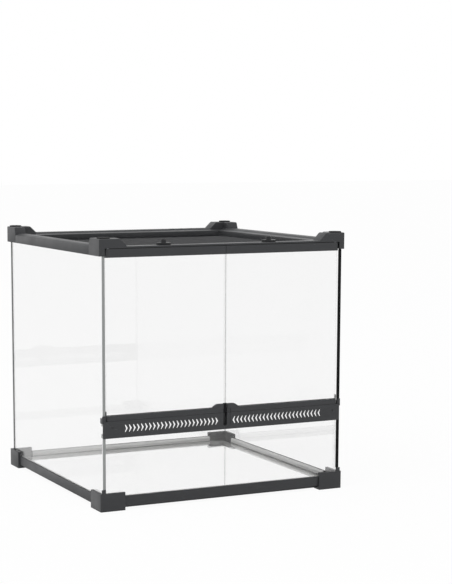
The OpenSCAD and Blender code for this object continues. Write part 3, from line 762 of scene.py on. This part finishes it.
def round_pads(node, material, radius, sides):
    """Stacking pads with a rounded rim and a shallow dish, one on each top corner."""
    low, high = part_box(node)
    thickness = high.z - low.z
    rim = 0.7 * MM
    dish = 0.4 * MM
    dish_edge = 1.8 * MM
    dish_slope = 0.6 * MM
    outline = [
        (radius - dish_edge - 2 * dish_slope, thickness - dish),
        (radius - dish_edge - dish_slope, thickness - 0.25 * dish),
        (radius - dish_edge, thickness),
        (radius - rim, thickness),
        (radius - 0.3 * rim, thickness - 0.3 * rim),
        (radius, thickness - rim),
        (radius, 0.0),
    ]
    bm = bmesh.new()
    for x in (low.x + radius, high.x - radius):
        for y in (low.y + radius, high.y - radius):
            revolve(bm, Vector((x, y, low.z)), outline, sides)
    bmesh.ops.recalc_face_normals(bm, faces=bm.faces)
    pads = piece_from(bm, "rubber_pads", node, [material])
    for polygon in pads.data.polygons:
        polygon.use_smooth = abs(polygon.normal.z) < FLAT_NORMAL
    return pads


class TERRARIUM_OT_frame(bpy.types.Operator):
    """Finishes the base and top frames, the doors' plastic, the vent strip and the lid frame"""

    bl_idname = "terrarium.frame"
    bl_label = "Finish the frame"

    def execute(self, context):
        finish = context.scene.terrarium_finish
        detail = context.scene.terrarium_detail
        plastic = moulded_plastic(
            "satin ABS moulding", finish.plastic, finish.plastic_roughness, finish.plastic_gloss
        )
        for node in BASE_NODES + TOP_NODES + DOOR_FRAME_NODES + STRIP_NODES:
            soften(node, plastic, detail.edge_round)
        soften("lid_frame", plastic, detail.edge_round)
        # The lip's matt black, nearly glossless plastic is painted shade in the gap between the
        # door trims
        dark = moulded_plastic("matt black lip in painted shade", finish.painted_lip_shade, roughness=0.8, specular=0.1)
        closing_lip(
            "door_trim_left", "door_glass_left", dark, detail.lip_thickness, detail.lip_clear
        )
        return {"FINISHED"}


class TERRARIUM_OT_knobs(bpy.types.Operator):
    """Finishes the turn knobs, their screws, the hinge pins and the catches"""

    bl_idname = "terrarium.knobs"
    bl_label = "Finish the knobs and metal parts"

    def execute(self, context):
        finish = context.scene.terrarium_finish
        detail = context.scene.terrarium_detail
        plastic = moulded_plastic(
            "dark ABS knob", finish.knob, finish.plastic_roughness, finish.plastic_gloss
        )
        for node in KNOB_NODES:
            knob = soften(node, plastic, detail.edge_round)
            thicken_disc(knob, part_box(node)[0].z + detail.disc_thickness, detail.disc_rise)
        steel = plated_steel("zinc-plated steel", finish.steel)
        for node in STEEL_NODES:
            repaint(node, steel)
        return {"FINISHED"}


class TERRARIUM_OT_glass(bpy.types.Operator):
    """Replaces the plain panes with float glass with polished edges and ground ones in painted
    light and shade, one under a black strip of painted shade
    """

    bl_idname = "terrarium.glass"
    bl_label = "Glaze the tank"

    def execute(self, context):
        finish = context.scene.terrarium_finish
        detail = context.scene.terrarium_detail
        glass = float_glass("clear float glass", finish.glass)
        # The ground edges are lit and shaded copies of one finish: painted light on the left
        # glass's front edge, painted shade on the other ground edges, and black painted shade with
        # little gloss on the right glass's front edge
        ground = ground_edge("ground glass edge", finish.edge, specular=0.5)
        dim = ground_edge("dimly lit ground edge", finish.shaded_ground_edge, specular=0.5)
        dark = ground_edge("black glass edge in painted shade", finish.black_shaded_edge, specular=0.05)
        bright = polished_edge("polished glass edge", finish.bright_edge, finish.edge_clearness)
        edges = {"left_glass": (dim, ground), "right_glass": (dim, dark), "rear_glass": (dim, dim)}
        for node in GLASS_NODES:
            edge, front_edge = edges.get(node, (bright, bright))
            pane(node, glass, edge, front_edge, detail.arris)
        # The black strip is painted shade over the right glass's front edge
        black_shade_strip("right_glass", dark, detail.shade_strip_wrap, detail.shade_strip_thickness)
        return {"FINISHED"}


class TERRARIUM_OT_screen(bpy.types.Operator):
    """Strings the lid with wires"""

    bl_idname = "terrarium.screen"
    bl_label = "String the lid's screen"

    def execute(self, context):
        finish = context.scene.terrarium_finish
        detail = context.scene.terrarium_detail
        wire = coated_wire("epoxy-coated steel wire", finish.wire)
        wire_screen("lid_screen", wire, detail.wire_pitch, detail.wire_width)
        return {"FINISHED"}


class TERRARIUM_OT_seals(bpy.types.Operator):
    """Finishes the silicone bead, its bed under the floor glass and the rubber stacking pads"""

    bl_idname = "terrarium.seals"
    bl_label = "Finish the seal and pads"

    def execute(self, context):
        finish = context.scene.terrarium_finish
        detail = context.scene.terrarium_detail
        silicone = translucent_silicone("clear silicone", finish.silicone)
        sealing_bead("floor_seal", silicone)
        glazing_bed(silicone, detail.bed_thickness)
        rubber = moulded_rubber("pressed rubber", finish.rubber)
        round_pads("stacking_pads", rubber, detail.pad_radius, detail.pad_sides)
        return {"FINISHED"}


class TERRARIUM_OT_stage(bpy.types.Operator):
    """Sets the floor, the light and the camera"""

    bl_idname = "terrarium.stage"
    bl_label = "Set the stage"

    def execute(self, context):
        stage = context.scene.terrarium_stage
        place_camera(context.scene, stage)
        lay_floor(stage)
        light_sky(context.scene, stage)
        hang_lamp(stage)
        context.scene.view_settings.view_transform = "Standard"
        return {"FINISHED"}


def place_camera(scene, stage):
    """A camera with the photograph's place, angle, focal length and framing."""
    data = bpy.data.cameras.new("camera")
    data.sensor_width = SENSOR
    data.lens = stage.focal_px * SENSOR / IMAGE_HEIGHT
    data.shift_x = (IMAGE_WIDTH / 2 - stage.centre_px[0]) / IMAGE_HEIGHT
    data.shift_y = (stage.centre_px[1] - IMAGE_HEIGHT / 2) / IMAGE_HEIGHT
    data.clip_end = VIEW_REACH
    camera = bpy.data.objects.new("camera", data)
    camera.location = stage.camera_place
    camera.rotation_euler = (math.pi / 2 - stage.camera_tilt, 0, stage.camera_azimuth)
    scene.collection.objects.link(camera)
    scene.camera = camera


def background_rays(tree):
    """1 for the rays that show the background: straight, mirrored or through glass."""
    path = add_node(tree, "ShaderNodeLightPath")
    seen = add_node(
        tree, "ShaderNodeMath", {"operation": "MAXIMUM"},
        {0: path.outputs["Is Camera Ray"], 1: path.outputs["Is Transmission Ray"]},
    )
    return add_node(
        tree, "ShaderNodeMath", {"operation": "MAXIMUM"},
        {0: seen.outputs[0], 1: path.outputs["Is Glossy Ray"]},
    ).outputs[0]


def lay_floor(stage):
    """A wide pale floor, mostly white to the eye, that keeps the tank's soft shadow."""
    material, tree, output, _ = new_material("matt studio floor")
    own = add_node(
        tree, "ShaderNodeBsdfDiffuse", {"Color": hex_to_linear(stage.floor), "Roughness": 0.5}
    )
    white = add_node(tree, "ShaderNodeEmission", {"Color": (1, 1, 1, 1), "Strength": 1.0})
    share = add_node(
        tree, "ShaderNodeMath", {"operation": "MULTIPLY", 1: 1.0 - stage.shadow_share},
        {0: background_rays(tree)},
    )
    mix = add_node(
        tree, "ShaderNodeMixShader", None,
        {0: share.outputs[0], 1: own.outputs[0], 2: white.outputs[0]},
    )
    tree.links.new(mix.outputs[0], output.inputs["Surface"])
    bm = bmesh.new()
    bmesh.ops.create_grid(bm, x_segments=1, y_segments=1, size=FLOOR_REACH)
    mesh = bpy.data.meshes.new("floor")
    bm.to_mesh(mesh)
    bm.free()
    mesh.materials.append(material)
    floor = bpy.data.objects.new("floor", mesh)
    bpy.context.scene.collection.objects.link(floor)


def light_sky(scene, stage):
    """A white surround, full white to the eye and dimmer as light, the more so on the right."""
    world = bpy.data.worlds.new("studio")
    world.use_nodes = True
    tree = world.node_tree
    tree.nodes.clear()
    output = add_node(tree, "ShaderNodeOutputWorld")
    direction = add_node(
        tree, "ShaderNodeSeparateXYZ", None,
        {"Vector": add_node(tree, "ShaderNodeTexCoord").outputs["Generated"]},
    )
    light = add_node(
        tree, "ShaderNodeMapRange",
        {
            "From Min": -1.0, "To Min": stage.world_strength * (1 + stage.world_lean),
            "To Max": stage.world_strength * (1 - stage.world_lean),
        },
        {"Value": direction.outputs["X"]},
    )
    strength = add_node(
        tree, "ShaderNodeMapRange", {"To Max": 1.0},
        {"Value": background_rays(tree), "To Min": light.outputs[0]},
    )
    sky = add_node(
        tree, "ShaderNodeBackground", {"Color": (1, 1, 1, 1)}, {"Strength": strength.outputs[0]}
    )
    tree.links.new(sky.outputs[0], output.inputs["Surface"])
    scene.world = world


def hang_lamp(stage):
    """A large soft box above the tank, a little to the left and in front of it."""
    data = bpy.data.lights.new("soft_box", "AREA")
    data.shape = "RECTANGLE"
    data.size = LAMP_SIDE
    data.size_y = LAMP_SIDE
    data.energy = stage.lamp_power
    lamp = bpy.data.objects.new("soft_box", data)
    lamp.location = LAMP_PLACE
    lamp.rotation_euler = LAMP_TILT
    bpy.context.scene.collection.objects.link(lamp)


class TERRARIUM_PT_panel(bpy.types.Panel):
    """Lists the steps in the sidebar"""

    bl_idname = "TERRARIUM_PT_panel"
    bl_label = "Terrarium"
    bl_space_type = "VIEW_3D"
    bl_region_type = "UI"
    bl_category = "Terrarium"

    def draw(self, context):
        for operator in OPERATORS:
            self.layout.operator(operator.bl_idname)
        for group in ("terrarium_finish", "terrarium_detail", "terrarium_stage"):
            settings = getattr(context.scene, group)
            box = self.layout.box()
            for name in settings.__annotations__:
                box.prop(settings, name)


OPERATORS = (
    TERRARIUM_OT_stage,
    TERRARIUM_OT_frame,
    TERRARIUM_OT_knobs,
    TERRARIUM_OT_glass,
    TERRARIUM_OT_screen,
    TERRARIUM_OT_seals,
)
CLASSES = (FinishSettings, DetailSettings, StageSettings, *OPERATORS, TERRARIUM_PT_panel)


def register():
    """Registers the classes and hangs the settings on the scene."""
    for cls in CLASSES:
        bpy.utils.register_class(cls)
    bpy.types.Scene.terrarium_finish = PointerProperty(type=FinishSettings)
    bpy.types.Scene.terrarium_detail = PointerProperty(type=DetailSettings)
    bpy.types.Scene.terrarium_stage = PointerProperty(type=StageSettings)


def unregister():
    """Takes the settings and the classes away again."""
    for name in ("terrarium_finish", "terrarium_detail", "terrarium_stage"):
        delattr(bpy.types.Scene, name)
    for cls in reversed(CLASSES):
        bpy.utils.unregister_class(cls)


def main():
    register()
    bpy.ops.terrarium.stage()
    bpy.ops.terrarium.frame()
    bpy.ops.terrarium.knobs()
    bpy.ops.terrarium.glass()
    bpy.ops.terrarium.screen()
    bpy.ops.terrarium.seals()


if __name__ == "__main__":
    main()
